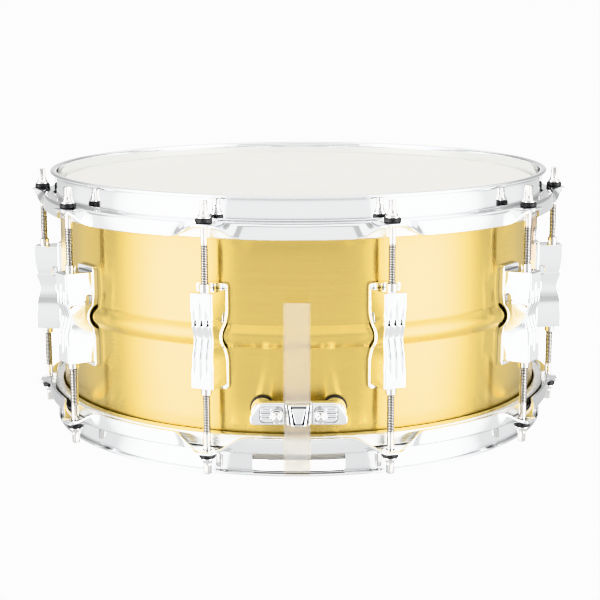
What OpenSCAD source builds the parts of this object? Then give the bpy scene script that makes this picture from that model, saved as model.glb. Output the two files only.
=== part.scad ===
// Ten-lug snare drum, 14 in by 6.5 in, with a brass shell and triple-flanged hoops.
// Millimetres, +Z up. The origin is on the drum's axis, in the plane of the lower rim.
// Inside the modules z = 0 is the middle of the shell, and outward at azimuth 0 is -Y.

/* [Shell] */
// Outside radius of the shell
shell_r = 176; // [175.9:0.05:176.05]
// Depth of the shell from edge to edge
shell_depth = 165.1; // [160:0.1:170]
// Thickness of the brass sheet
shell_wall = 1.2; // [0.8:0.1:1.5]
// How far the central bead stands out
bead_proud = 4; // [3:0.5:4]
// Half the height of the central bead
bead_half = 6.5; // [5:0.5:7]

/* [Hoops] */
// Thickness of the hoop's sheet
hoop_t = 2.2; // [1.8:0.1:2.3]
// How far a rim stands beyond the shell's edge
rim_rise = 8.75; // [8:0.05:10]
// Outside radius of the rolled rim
rim_r = 182.2; // [181:0.1:183]
// Height of the free wall between rim and step
wall_h = 16.4; // [15:0.1:17]
// Height of the apron that hangs from the step
apron_h = 11; // [10:0.5:12]
// Width of a snare gate
gate_w = 60; // [50:1:64]

/* [Tuning] */
// Radius of the circle the tension rods stand on
rod_circle_r = 190.5; // [190.3:0.1:190.6]
// Radius of a tension rod
rod_r = 2.75; // [2.5:0.05:2.8]
// Number of lugs round the shell
lug_count = 10; // [10:1:10]
// Half the height of a lug's front block
lug_half = 31.3; // [29:0.1:31.5]
// Width of a lug's front block
lug_w = 15.4; // [14:0.1:16]

/* [Snares] */
// Number of snare wires
wire_count = 20; // [12:2:20]
// Width of the strap
strap_w = 17.4; // [12:0.1:18]
// Height of the strap's free tail above the middle of the shell
strap_tail = 24.8; // [0:0.1:30]
// How far the released strainer lets the carriage down
throw_drop = 5; // [4:0.5:5]

/* [Hidden] */
$fn = 72;
eps = 0.01;
run = 0.05;                                  // radial running clearance
deg_per_rad = 180 / PI;
half = shell_depth / 2;
mid_z = half + rim_rise;
lug_step = 360 / lug_count;
function lug_angle(i) = lug_step * (i - 0.5);

edge_in = 3.4;                               // how far the bearing edge leans in
edge_r = shell_r - edge_in;
edge_z = half - 0.05;
gap = 0.3;                                   // loose gap between tuned parts
film_t = 0.25;
step_z = half + rim_rise - wall_h;           // outer face of the hoop's step
wall_in = shell_r + 0.9;
wall_out = wall_in + hoop_t;
apron_r = 187.6;
flesh_in = shell_r + 1.1;
flesh_out = apron_r - hoop_t - 1.8;
flesh_h = 9.2;
gate_h = 12;
gate_low = half + rim_rise - hoop_t - 0.5;

ear_r = 198.2;
ear_w = 12.5;
rod_hole_r = rod_r + 0.11;
washer_r = 5.5;
washer_h = 2.7;
collar_h = 4.9;
key_side = 5.4;
key_h = 6.6;
rod_end = 19;

lug_face = rod_circle_r + 7.5;
lug_waist = lug_face - 3.3;
lug_dip = 14;                                // half height of the waist in the face
foot_half = 34.8;
foot_w = 22;
foot_r = shell_r + 3.2;
nut_r = 3.75;
nut_flange_r = 4.3;
nut_in = 16;
nut_out = 36;
nut_step = 24;
lug_screw_z = 23;
screw_r = 2;
screw_hole_r = screw_r + 0.3;
screw_bore_r = screw_r + run;

badge_angle = 72;
badge_z = 45.5;
badge_w = 30;
badge_h = 33;
vent_r = 4;
vent_hole_r = vent_r + 0.85;

butt_z = -46.6;
butt_w = 62.4;
butt_h = 14.8;
butt_screw_x = 14;
butt_screw_z = -48.5;
butt_mount_x = 23;
strap_t = 0.5;
strap_r = apron_r + 0.5;                     // middle of the strap outside the hoop
pad_r = strap_r - strap_t / 2 - run;
clamp_r = strap_r + strap_t / 2 + run;
clamp_t = 1.6;
strap_in = 168.6;
strap_z = -85;

wire_r = 0.85;
wire_pitch = 2.05;
wire_half = 159;
wire_z = -(edge_z + film_t + 0.2 + wire_r);
plate_in = 156;
plate_out = 168;

pivot_r = 187;
pivot_z = -24;
pin_r = 2;
cam_high = 11;
cam_low = cam_high - throw_drop;
cam_rate = throw_drop / (PI / 2);            // lift in mm per radian of lever turn
rail_in = 11;
rail_out = 15;
arm_r = 199;
knob_r = 7;
knob_h = 8.6;
knob_axis_r = 189;
stem_r = 2.5;
stem_h = 7.3;
carriage_top = -4;
clamp_low = -56;
clamp_high = -43.5;
clamp_w = 29;
clamp_screw_r = 1.5;

function numbered(stem, i) = str(stem, i < 10 ? "_0" : "_", i);

// ---- helpers ----

// Lifts a part from the shell's middle frame to the drum's frame
module lift() { translate([0, 0, mid_z]) children(); }

// Repeats a child at each lug
module at_lugs() { for (i = [1:lug_count]) rotate([0, 0, lug_angle(i)]) children(); }

// Shows a child and its mirror image below the shell's middle
module both_sides() { children(); mirror([0, 0, 1]) children(); }

// Extrudes an outline drawn as (outward, up), centred across
module across(w) { rotate([90, 0, -90]) linear_extrude(w, center = true) children(); }

// Extrudes an outline drawn as (sideways, up) outward from one radius to another
module outward(from, to) { translate([0, -from, 0]) rotate([90, 0, 0]) linear_extrude(to - from) children(); }

// A cylinder that points outward from one radius to another
module peg(r, from, to) { translate([0, -from, 0]) rotate([90, 0, 0]) cylinder(r = r, h = to - from); }

// A hole through the shell's wall and what lies on it, at azimuth 0
module wall_hole(r) { peg(r, shell_r - 8, shell_r + 5); }

// A rectangle with round corners
module round_rect(w, h, r) {
    square([w - 2 * r, h], center = true);
    square([w, h - 2 * r], center = true);
    for (x = [-1, 1], y = [-1, 1]) translate([x * (w / 2 - r), y * (h / 2 - r)]) circle(r = r);
}

// The solid that the shell's outside fills, for seats that follow its curve
module shell_seat() { translate([0, 0, -half]) cylinder(r = shell_r + 0.02, h = shell_depth, $fn = 180); }

// ---- shell and heads ----

bead_radius = (bead_half * bead_half + bead_proud * bead_proud) / (2 * bead_proud);
bead_swing = asin(bead_half / bead_radius);

// The shell's section as a line, moved in from the outside face by d
function shell_line(d) = concat(
    [[edge_r - d * 0.7, edge_z - d * 0.7], [shell_r - d, edge_z - edge_in - d * 0.4]],
    [for (i = [0:12]) let (a = bead_swing * (1 - i / 6))
        [shell_r + bead_proud - bead_radius + (bead_radius - d) * cos(a), (bead_radius - d) * sin(a)]],
    [[shell_r - d, -(edge_z - edge_in - d * 0.4)], [edge_r - d * 0.7, -(edge_z - d * 0.7)]]);

function reversed(v) = [for (i = [len(v) - 1:-1:0]) v[i]];

module shell() {
    bed_depth = 1.2;
    bed_w = 90;
    bed_radius = (bed_w * bed_w / 4 + bed_depth * bed_depth) / (2 * bed_depth);
    color("goldenrod") lift() difference() {
        rotate_extrude($fn = 180) polygon(concat(shell_line(0), reversed(shell_line(shell_wall))));
        at_lugs() for (s = [-1, 1]) translate([0, 0, s * lug_screw_z]) wall_hole(screw_hole_r);
        rotate([0, 0, badge_angle]) translate([0, 0, badge_z]) wall_hole(vent_hole_r);
        for (s = [-1, 1]) translate([s * butt_mount_x, 0, butt_z]) wall_hole(screw_hole_r);
        rotate([0, 0, 180]) for (z = strainer_screw_z) translate([0, 0, z]) wall_hole(screw_hole_r);
        // Snare beds: a shallow dip in the lower bearing edge at each strap
        translate([0, 0, -half + bed_depth - bed_radius]) rotate([90, 0, 0])
            cylinder(r = bed_radius, h = 2 * shell_r + 20, center = true, $fn = 180);
    }
}

// A head's film: flat over the bearing edge, then a collar down the shell's outside
module film() {
    z = edge_z + run;
    skirt = shell_r + gap;
    low = step_z - 0.9;
    rotate_extrude($fn = 180) polygon([
        [0, z], [edge_r - run, z], [skirt, edge_z - edge_in + 0.1], [skirt, low],
        [skirt + film_t, low], [skirt + film_t, edge_z - edge_in + 0.2],
        [edge_r + 0.1, z + film_t], [0, z + film_t]]);
}

module batter_film() { color("white") lift() film(); }
module snare_side_film() { color("aliceblue", 0.5) lift() mirror([0, 0, 1]) film(); }

// The metal ring a head's film is set in
module flesh_hoop() {
    top = step_z - hoop_t - 0.1;
    rotate_extrude($fn = 180) translate([flesh_in, top - flesh_h]) square([flesh_out - flesh_in, flesh_h]);
}

module batter_flesh_hoop() { color("silver") lift() flesh_hoop(); }
module snare_side_flesh_hoop() { color("silver") lift() mirror([0, 0, 1]) flesh_hoop(); }

// ---- hoops ----

module hoop_ring() {
    rim_z = half + rim_rise;
    bevel = 0.8;
    rotate_extrude($fn = 180) polygon([
        [wall_in, rim_z], [rim_r, rim_z], [rim_r, rim_z - hoop_t], [wall_out, rim_z - hoop_t],
        [wall_out, step_z], [apron_r - bevel, step_z], [apron_r, step_z - bevel], [apron_r, step_z - apron_h],
        [apron_r - hoop_t, step_z - apron_h], [apron_r - hoop_t, step_z - hoop_t],
        [wall_in, step_z - hoop_t]]);
}

// The bell outline that the apron's edge follows below an ear
module bell() {
    high = apron_h - hoop_t - 0.7;
    right = [[ear_w / 2, high], [9, 0.75 * high], [12, 0.25 * high], [15, -1]];
    polygon(concat(right, [for (p = reversed(right)) [-p[0], p[1]]]));
}

// An ear: a flat tab on the step that a tension rod passes through
module ear() {
    root_w = 32;
    tip = 1.8;                               // size of the corners' bevels
    ear_t = hoop_t - 0.2;
    translate([0, 0, step_z - ear_t]) linear_extrude(ear_t) difference() {
        polygon([[-root_w / 2, -apron_r + 4], [-root_w / 2, -apron_r + 1.5], [-ear_w / 2, -ear_r + 7],
            [-ear_w / 2, -ear_r + tip], [-ear_w / 2 + tip, -ear_r], [ear_w / 2 - tip, -ear_r],
            [ear_w / 2, -ear_r + tip], [ear_w / 2, -ear_r + 7], [root_w / 2, -apron_r + 1.5],
            [root_w / 2, -apron_r + 4]]);
        translate([0, -rod_circle_r]) circle(r = rod_hole_r);
    }
}

module hoop() {
    difference() {
        hoop_ring();
        at_lugs() translate([0, 0, step_z - apron_h]) outward(apron_r - hoop_t - 1, apron_r + 3) bell();
    }
    at_lugs() ear();
}

module batter_hoop() { color("gainsboro") lift() hoop(); }

module snare_side_hoop() {
    color("gainsboro") lift() mirror([0, 0, 1]) difference() {
        hoop();
        // Snare gates: an opening in the free wall for each strap
        for (a = [0, 180]) rotate([0, 0, a]) translate([0, 0, gate_low - gate_h / 2])
            outward(wall_in - 8, wall_out + 0.5) round_rect(gate_w, gate_h, 1.5);
    }
}

module washers() {
    at_lugs() translate([0, -rod_circle_r, step_z]) difference() {
        cylinder(r = washer_r, h = washer_h);
        translate([0, 0, -1]) cylinder(r = rod_r + 0.2, h = washer_h + 2);
    }
}

module batter_washers() { color("black") lift() washers(); }
module snare_side_washers() { color("black") lift() mirror([0, 0, 1]) washers(); }

// ---- tension rods ----

module tension_rod() {
    seat = step_z + washer_h;
    translate([0, -rod_circle_r, 0]) {
        translate([0, 0, rod_end]) cylinder(r = rod_r, h = seat + 1 - rod_end);
        translate([0, 0, seat]) cylinder(r1 = 4.6, r2 = 3.3, h = collar_h);
        translate([0, 0, seat + collar_h + key_h / 2 - eps])
            cube([key_side, key_side, key_h], center = true);
    }
}

module batter_rod(i) { color("lightgray") lift() rotate([0, 0, lug_angle(i)]) tension_rod(); }
module snare_side_rod(i) {
    color("lightgray") lift() mirror([0, 0, 1]) rotate([0, 0, lug_angle(i)]) tension_rod();
}

// ---- lugs ----

function waist(z, reach) = abs(z) < reach ? (1 + cos(180 * z / reach)) / 2 : 0;
function face_at(z) = lug_face - (lug_face - lug_waist) * waist(z, lug_dip);
function foot_at(z) = 6.9 + 2.5 * pow(min(1, abs(z) / 9), 1.5) + 1.6 * max(0, (abs(z) - 9) / (foot_half - 9));

module lug_side() {
    polygon(concat(
        [[shell_r - 3, -lug_half], [lug_face - 1, -lug_half], [lug_face, -lug_half + 1]],
        [for (i = [-7:7]) [face_at(i * 2), i * 2]],
        [[lug_face, lug_half - 1], [lug_face - 1, lug_half], [shell_r - 3, lug_half]]));
}

module lug_front() {
    function side_at(z) = lug_w / 2 - 0.8 * waist(z, 20);
    steps = [for (i = [-9:9]) i * 4];
    polygon(concat([for (z = steps) [side_at(z), z]], [for (z = reversed(steps)) [-side_at(z), z]]));
}

module lug_foot() {
    steps = [for (i = [-12:12]) i * foot_half / 12];
    polygon(concat([for (z = steps) [foot_at(z), z]], [for (z = reversed(steps)) [-foot_at(z), z]]));
}

module lug_solid() {
    notch_r = 10.1;
    boss_end = rod_circle_r - 4.5;           // back of the wall round the nut
    inner_w = lug_w - 4;
    inner_low = 12;
    inner_high = lug_half - 2.5;
    difference() {
        union() {
            intersection() {
                across(foot_w) lug_side();
                outward(shell_r - 3, lug_face + 1) lug_front();
            }
            outward(shell_r - 4, foot_r) lug_foot();
        }
        shell_seat();
        // The notch that clears the shell's bead
        across(foot_w + 2) translate([shell_r + 5 - notch_r, 0]) circle(r = notch_r);
        for (s = [-1, 1]) {
            difference() {
                // The hollow behind each nut, open towards the shell
                translate([0, -(shell_r - 4 + boss_end) / 2, s * (inner_low + inner_high) / 2])
                    cube([inner_w, boss_end - shell_r + 4, inner_high - inner_low], center = true);
                translate([0, 0, s * lug_screw_z]) peg(4, shell_r - 5, lug_face);
            }
            translate([0, 0, s * lug_screw_z]) peg(screw_bore_r, shell_r - 5, boss_end - 1);
            // The nut's bore, wider behind the end wall
            translate([0, -rod_circle_r, s * (nut_in - 0.2)]) mirror([0, 0, s < 0 ? 1 : 0]) {
                cylinder(r = nut_r + run, h = lug_half);
                cylinder(r = nut_flange_r + run, h = nut_step - nut_in + 0.4);
            }
        }
    }
}

module lug(i) { color("gainsboro") lift() rotate([0, 0, lug_angle(i)]) lug_solid(); }

module lug_nut() {
    difference() {
        union() {
            translate([0, 0, nut_in]) cylinder(r = nut_r, h = nut_out - nut_in);
            translate([0, 0, nut_in]) cylinder(r = nut_flange_r, h = nut_step - nut_in);
        }
        translate([0, 0, nut_in - 1]) cylinder(r = rod_r + run, h = nut_out - nut_in + 2);
    }
}

module lug_nuts() {
    color("silver") lift() at_lugs() translate([0, -rod_circle_r, 0]) both_sides() lug_nut();
}

washer_seat = shell_r - shell_wall - 0.1;
washer_t = 0.8;

// A cap screw whose head bears on a washer inside the shell
module inner_screw(reach, bearing) {
    peg(4, bearing - 3, bearing);
    peg(screw_r, bearing - 1, reach);
}

module lug_screws() {
    color("silver") lift() at_lugs() both_sides()
        translate([0, 0, lug_screw_z]) inner_screw(shell_r + 8, washer_seat - washer_t);
}

module lug_screw_washers() {
    color("silver") lift() at_lugs() both_sides() translate([0, 0, lug_screw_z]) difference() {
        peg(5, washer_seat - washer_t, washer_seat);
        peg(screw_r + 0.2, washer_seat - 2, washer_seat + 1);
    }
}

// ---- badge and vent ----

module badge() {
    color("gainsboro") lift() rotate([0, 0, badge_angle]) difference() {
        intersection() {
            translate([0, 0, badge_z]) outward(shell_r - 6, shell_r + 3) round_rect(badge_w, badge_h, 4);
            translate([0, 0, badge_z - badge_h]) cylinder(r = shell_r + 0.8, h = 2 * badge_h, $fn = 180);
        }
        shell_seat();
        translate([0, 0, badge_z]) wall_hole(vent_hole_r);
    }
}

module vent_grommet() {
    color("silver") lift() rotate([0, 0, badge_angle]) translate([0, 0, badge_z]) difference() {
        union() {
            peg(vent_r + 0.8, shell_r - 2.4, shell_r + 1.6);
            peg(vent_r + 2.4, shell_r + 0.85, shell_r + 1.6);
            peg(vent_r + 2.2, shell_r - 2.6, shell_r - 1.5);
        }
        peg(vent_r, shell_r - 6, shell_r + 5);
    }
}

// ---- butt plate ----

module butt_base() {
    wing_r = clamp_r + clamp_t;
    color("gainsboro") lift() translate([0, 0, butt_z]) difference() {
        outward(shell_r - 6, wing_r) round_rect(butt_w, butt_h, 4);
        translate([0, 0, -butt_z]) shell_seat();
        // The bed across the middle that the strap and its clamp lie in
        outward(pad_r, wing_r + 1) square([37.6, butt_h + 2], center = true);
        // Ribbed finger panels in the wings
        for (s = [-1, 1], z = [-3.2, 0, 3.2]) translate([s * 24, 0, z])
            outward(wing_r - 0.8, wing_r + 1) round_rect(8, 1.6, 0.7);
        for (x = [-1, 1]) {
            translate([x * butt_screw_x, 0, butt_screw_z - butt_z])
                peg(screw_bore_r, shell_r + 3, wing_r + 1);
            translate([x * butt_mount_x, 0, 0]) peg(screw_bore_r, shell_r - 8, shell_r + 7.2);
        }
    }
}

module butt_clamp() {
    // A thin plate across the bed, with a boss that tapers downward over the strap
    boss_top = [8.2, butt_z + 5.9];
    boss_low = [6.4, butt_z - butt_h / 2];
    color("gainsboro") lift() difference() {
        union() {
            translate([0, 0, butt_z]) outward(clamp_r, clamp_r + clamp_t) round_rect(37, butt_h - 1.4, 2);
            outward(clamp_r, clamp_r + clamp_t + 2.4) polygon([
                [-boss_top[0], boss_top[1]], boss_top, boss_low, [-boss_low[0], boss_low[1]]]);
        }
        for (x = [-1, 1]) translate([x * butt_screw_x, 0, butt_screw_z])
            peg(screw_r + 0.15, clamp_r - 2, clamp_r + 4);
    }
}

// A square-headed screw with a round flange, which points outward from its seat
module key_screw(seat, depth) {
    head = [5.2, 6.8, 5.2];
    flange_h = 1.4;
    peg(screw_r, seat - depth, seat + 1);
    peg(3.6, seat, seat + flange_h);
    translate([0, -seat - flange_h + 0.2 - head[1] / 2, 0]) cube(head, center = true);
}

module butt_clamp_screws() {
    color("silver") lift() for (x = [-1, 1])
        translate([x * butt_screw_x, 0, butt_screw_z]) key_screw(clamp_r + clamp_t, 9);
}

module butt_mount_screws() {
    // Off to the side, the curved wall is nearer than on the centre line
    bearing = sqrt(pow(washer_seat, 2) - pow(butt_mount_x + 4, 2)) - 0.1;
    color("silver") lift() for (x = [-1, 1])
        translate([x * butt_mount_x, 0, butt_z]) inner_screw(shell_r + 6, bearing);
}

// The strap's line as (outward, up), from the snares' end plate out through the gate
function strap_path(top) = [[strap_in, strap_z], [wall_out, strap_z - 0.2], [184.2, -83.2],
    [strap_r - 0.6, -79.6], [strap_r, -77.2], [strap_r, top]];

module strap(top) {
    path = strap_path(top);
    h = strap_t / 2;
    inner = [for (i = [0:len(path) - 1]) path[i] + strap_normal(path, i) * h];
    outer = [for (i = [0:len(path) - 1]) path[i] - strap_normal(path, i) * h];
    across(strap_w) polygon(concat(inner, reversed(outer)));
}

// The mean normal of a path at one of its points
function strap_normal(path, i) = let (
    a = path[max(0, i - 1)], b = path[min(len(path) - 1, i + 1)], d = (b - a) / norm(b - a)) [-d[1], d[0]];

module butt_strap() { color("antiquewhite", 0.7) lift() strap(strap_tail); }

// ---- strainer, opposite the butt plate ----

strainer_screw_z = [-37, -12];

module at_back() { lift() rotate([0, 0, 180]) children(); }

module strainer_base() {
    low = -41;
    high = -8.5;
    color("gainsboro") at_back() difference() {
        union() {
            translate([0, 0, (low + high) / 2]) outward(shell_r - 3, shell_r + 4)
                round_rect(30, high - low, 3);
            for (s = [-1, 1]) translate([s * (rail_in + rail_out) / 2, 0, (low + high) / 2])
                outward(shell_r + 3, pivot_r + 6)
                    square([rail_out - rail_in, high - low - 6], center = true);
        }
        shell_seat();
        across(40) translate([pivot_r, pivot_z]) circle(r = pin_r + run);
        for (z = strainer_screw_z) translate([0, 0, z]) peg(screw_bore_r, shell_r - 4, shell_r + 3.4);
    }
}

module strainer_mount_screws() {
    color("silver") at_back() for (z = strainer_screw_z)
        translate([0, 0, z]) inner_screw(shell_r + 3, washer_seat);
}

module strainer_pivot_pin() {
    color("silver") at_back() across(2 * rail_out + 1) translate([pivot_r, pivot_z]) circle(r = pin_r);
}

module strainer_carriage() {
    side = rail_in - 0.1;
    strap_half = 6.9;                        // inside half width, clear of the lever's hub
    bar_in = shell_r + 6;
    bar_out = bar_in + 10;
    lap = 0.5;                               // how far the side bars run into the clamp block
    slack = 0.2;                             // room round the pivot pin in its slot
    block_low = pivot_z + cam_high + run;    // the face that the cam lifts
    color("gainsboro") at_back() difference() {
        union() {
            // Two side bars joined by a top block over the cam and a clamp block below
            for (s = [-1, 1])
                translate([s * (side + strap_half) / 2, 0, (carriage_top + clamp_high - lap) / 2])
                    outward(bar_in, bar_out)
                        square([side - strap_half, carriage_top - clamp_high + lap], center = true);
            translate([0, 0, (carriage_top + block_low) / 2]) outward(bar_in, bar_out + 2)
                square([2 * side, carriage_top - block_low], center = true);
            translate([0, 0, (clamp_low + clamp_high) / 2]) outward(shell_r + 5, pad_r)
                square([clamp_w, clamp_high - clamp_low], center = true);
        }
        across(30) translate([pivot_r - pin_r - slack, pivot_z - pin_r - slack])
            square([2 * (pin_r + slack), 2 * (pin_r + slack) + throw_drop]);
        translate([0, -knob_axis_r, carriage_top - stem_h - 0.3]) cylinder(r = stem_r + run, h = 10);
        at_clamp_screws() peg(clamp_screw_r + run, shell_r + 6, pad_r + 1);
    }
}

// Repeats a child at each screw of the strainer's clamp
module at_clamp_screws() { for (x = [-12, 12]) translate([x, 0, (clamp_low + clamp_high) / 2]) children(); }

module strainer_clamp() {
    color("gainsboro") at_back() difference() {
        translate([0, 0, (clamp_low + clamp_high) / 2]) outward(clamp_r, clamp_r + 2)
            round_rect(clamp_w, 11.5, 2);
        at_clamp_screws() peg(clamp_screw_r + 0.15, clamp_r - 1, clamp_r + 3);
    }
}

module strainer_clamp_screws() {
    color("silver") at_back() at_clamp_screws() {
        peg(clamp_screw_r, clamp_r - 6, clamp_r + 3);
        peg(2.6, clamp_r + 2, clamp_r + 4.4);
    }
}

// The lever's cam: its lift under a flat block falls evenly as the lever turns down
function cam_point(turn) = let (
    h = cam_high - cam_rate * turn / deg_per_rad, a = 90 + turn,
    n = [cos(a), sin(a)], t = [-sin(a), cos(a)]) n * h - t * cam_rate;

module strainer_lever() {
    color("gainsboro") at_back() across(12.8) translate([pivot_r, pivot_z]) difference() {
        union() {
            polygon(concat(
                [for (i = [0:9]) cam_point(i * 10)],
                [for (i = [0:12]) let (a = 180 + i * 15) cam_low * [cos(a), sin(a)]]));
            // The arm stands up in front of the carriage and the knob, leaning out at its tip
            arm = arm_r - pivot_r;
            polygon([[2, -5], [arm - 3, -1], [arm + 1, 8], [arm + 2.6, 34], [arm + 6, 46],
                [arm + 3.4, 47.5], [arm, 35], [arm - 1.8, 9], [5, 2]]);
        }
        circle(r = pin_r + run);
    }
}

module tension_knob() {
    color("silver") at_back() translate([0, -knob_axis_r, carriage_top]) {
        translate([0, 0, -stem_h]) cylinder(r = stem_r, h = stem_h + 1);
        translate([0, 0, 0.2]) cylinder(r = knob_r, h = knob_h);
    }
}

module strainer_strap() { color("antiquewhite", 0.7) at_back() strap(clamp_low - throw_drop - 0.4); }

// ---- snares ----

module snare_wires() {
    color("lightgray") lift() for (i = [0:wire_count - 1])
        translate([(i - (wire_count - 1) / 2) * wire_pitch, 0, wire_z]) rotate([90, 0, 0])
            cylinder(r = wire_r, h = 2 * wire_half, center = true);
}

module snare_end_plates() {
    color("goldenrod") lift() for (a = [0, 180]) rotate([0, 0, a])
        translate([0, -(plate_in + plate_out) / 2, wire_z - wire_r - 0.43])
            cube([wire_count * wire_pitch + 2, plate_out - plate_in, 0.8], center = true);
}

shell();
batter_film();
snare_side_film();
batter_flesh_hoop();
snare_side_flesh_hoop();
batter_hoop();
snare_side_hoop();
batter_washers();
snare_side_washers();
lug_nuts();
lug_screws();
lug_screw_washers();
badge();
vent_grommet();
butt_base();
butt_clamp();
butt_clamp_screws();
butt_mount_screws();
butt_strap();
strainer_base();
strainer_mount_screws();
strainer_pivot_pin();
strainer_carriage();
strainer_clamp();
strainer_clamp_screws();
strainer_lever();
tension_knob();
strainer_strap();
snare_wires();
snare_end_plates();
for (i = [1:lug_count]) lug(i);
for (i = [1:lug_count]) batter_rod(i);
for (i = [1:lug_count]) snare_side_rod(i);
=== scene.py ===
"""The looks of a ten-lug snare drum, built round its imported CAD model.

Sizes are in millimetres, in the frame of the shell's middle: +Z up, and outward at azimuth 0 is -Y.
mesh_of() turns them into metres in the drum's frame. A solid is a pair of lists (verts, faces)."""

from math import atan2, cos, exp, pi, radians, sin, sqrt, tan

import bmesh
import bpy
from mathutils import Matrix, Vector


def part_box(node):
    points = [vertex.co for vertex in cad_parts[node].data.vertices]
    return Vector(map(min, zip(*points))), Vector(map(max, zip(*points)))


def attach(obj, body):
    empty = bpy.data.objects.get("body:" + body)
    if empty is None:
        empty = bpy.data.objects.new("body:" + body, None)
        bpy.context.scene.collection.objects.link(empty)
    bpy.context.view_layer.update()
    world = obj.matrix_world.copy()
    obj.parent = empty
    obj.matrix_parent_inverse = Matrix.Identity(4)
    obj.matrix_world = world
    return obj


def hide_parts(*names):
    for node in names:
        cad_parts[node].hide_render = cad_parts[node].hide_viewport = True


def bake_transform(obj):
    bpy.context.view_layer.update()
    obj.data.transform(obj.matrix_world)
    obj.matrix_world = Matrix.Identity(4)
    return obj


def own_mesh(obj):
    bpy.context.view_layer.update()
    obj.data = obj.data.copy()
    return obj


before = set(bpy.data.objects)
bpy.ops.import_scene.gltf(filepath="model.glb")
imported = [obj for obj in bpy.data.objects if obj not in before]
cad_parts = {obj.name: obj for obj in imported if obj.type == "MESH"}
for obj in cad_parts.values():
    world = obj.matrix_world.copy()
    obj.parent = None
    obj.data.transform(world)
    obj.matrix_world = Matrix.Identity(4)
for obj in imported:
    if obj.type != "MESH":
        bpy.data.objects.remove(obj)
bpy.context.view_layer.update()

MM = 0.001

# ---- sizes, read from the frame ----

MID = Vector((0, 0, 0))


def corners(node):
    """Lowest and highest corner of a CAD node in millimetres, with z from the shell's middle."""
    low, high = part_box(node)
    return (low - MID) / MM, (high - MID) / MM


shell_low, shell_high = corners("shell")
MID.z = (shell_low.z + shell_high.z) / 2 * MM
HALF = (shell_high.z - shell_low.z) / 2  # half the shell's depth
BEAD_PROUD = 4.0  # how far the rolled bead stands out of the shell
BEAD_HALF = 6.5  # half the bead's width
SHELL_R = shell_high.x - BEAD_PROUD
WALL = 1.2  # thickness of the shell's sheet
INSIDE_R = SHELL_R - WALL

rod_low, rod_high = corners("batter_rod_03")
ROD_CIRCLE = (rod_low.x + rod_high.x) / 2  # radius of the circle that the rods stand on
ROD_R = 2.75
THREAD_TOP = 62.0  # where a rod's thread ends
washer_low, washer_high = corners("batter_washers")
STEP_Z = washer_low.z  # top of the hoop's step
WASHER_H = washer_high.z - washer_low.z
WASHER_R = washer_high.x - ROD_CIRCLE
hoop_low, hoop_high = corners("batter_hoop")
RIM_Z = hoop_high.z
EAR_R = hoop_high.x  # how far out the hoop's ears reach
APRON_H = STEP_Z - hoop_low.z
ring_low, ring_high = corners("batter_flesh_hoop")
HOOP_T = 2.2  # thickness of the hoop's sheet
APRON_R = ring_high.x + HOOP_T + 1.8
WALL_IN = SHELL_R + 0.9  # inside of the hoop's free wall
WALL_OUT = WALL_IN + HOOP_T
RIM_R = 182.2  # outside of the hoop's rolled lip

STRAP_SHIFT = -1.0  # how far to the left the front strap sits in its clamp

lug_high = corners("lug_03")[1]
LUG_FACE = lug_high.x
FOOT_HALF = lug_high.z
LUG_COUNT = 10
LUG_ANGLES = [360 / LUG_COUNT * (i + 0.5) for i in range(LUG_COUNT)]
NUMBERS = [f"{i + 1:02d}" for i in range(LUG_COUNT)]

# ---- outlines ----


def smooth(t):
    """Goes from 0 to 1 with no slope at either end."""
    t = min(1.0, max(0.0, t))
    return t * t * (3 - 2 * t)


def arc(centre, radius, start, end, steps):
    """Points along an arc, with angles in degrees from the first axis."""
    turns = [radians(start + (end - start) * k / steps) for k in range(steps + 1)]
    return [(centre[0] + radius * cos(t), centre[1] + radius * sin(t)) for t in turns]


def rounded(points, steps=5):
    """The closed outline through points (u, v, radius), with an arc at each corner."""
    out = []
    for i, (u, v, radius) in enumerate(points):
        here = Vector((u, v))
        back = Vector(points[i - 1][:2]) - here
        ahead = Vector(points[(i + 1) % len(points)][:2]) - here
        if radius == 0:
            out.append((u, v))
            continue
        half = back.angle(ahead) / 2
        reach = min(radius / tan(half), 0.49 * back.length, 0.49 * ahead.length)
        centre = here + (back.normalized() + ahead.normalized()).normalized() * reach / cos(half)
        first = here + back.normalized() * reach - centre
        last = here + ahead.normalized() * reach - centre
        sweep = atan2(first.x * last.y - first.y * last.x, first.dot(last))
        for k in range(steps + 1):
            t = sweep * k / steps
            turned = (first.x * cos(t) - first.y * sin(t), first.x * sin(t) + first.y * cos(t))
            out.append((centre.x + turned[0], centre.y + turned[1]))
    return out


def inset(outline, depth):
    """A closed counter-clockwise outline moved inward by depth."""
    out = []
    for i, (u, v) in enumerate(outline):
        a, b = outline[i - 1], outline[(i + 1) % len(outline)]
        before = Vector((u - a[0], v - a[1])).normalized()
        after = Vector((b[0] - u, b[1] - v)).normalized()
        normal = Vector((-before.y - after.y, before.x + after.x)).normalized()
        lean = max(0.5, normal.dot(Vector((-before.y, before.x))))
        out.append((u + normal.x * depth / lean, v + normal.y * depth / lean))
    return out


def slot_outline(width, height, radius, at=(0, 0), steps=5):
    """A rectangle with round corners, counter-clockwise round a centre."""
    u, v = width / 2, height / 2
    points = [(-u, -v), (u, -v), (u, v), (-u, v)]
    return rounded([(at[0] + a, at[1] + b, radius) for a, b in points], steps)


def circle(radius, steps=32, at=(0, 0)):
    return arc(at, radius, 0, 360 * (steps - 1) / steps, steps - 1)


# ---- solids ----


def upward(u, v, w):
    """Where a point of an outline seen from above stands, raised by w along z."""
    return u, v, w


def outward(u, v, w):
    """Where a point of an outline (sideways, up) stands, w from the drum's axis."""
    return u, -w, v


def across(u, v, w):
    """Where a point of an outline (outward, up) stands, w to the side."""
    return w, -u, v


def on_shell(u, v, w):
    """Where a point of an outline (sideways, up) stands when it is bent to the shell."""
    return w * sin(u / SHELL_R), -w * cos(u / SHELL_R), v


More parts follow.
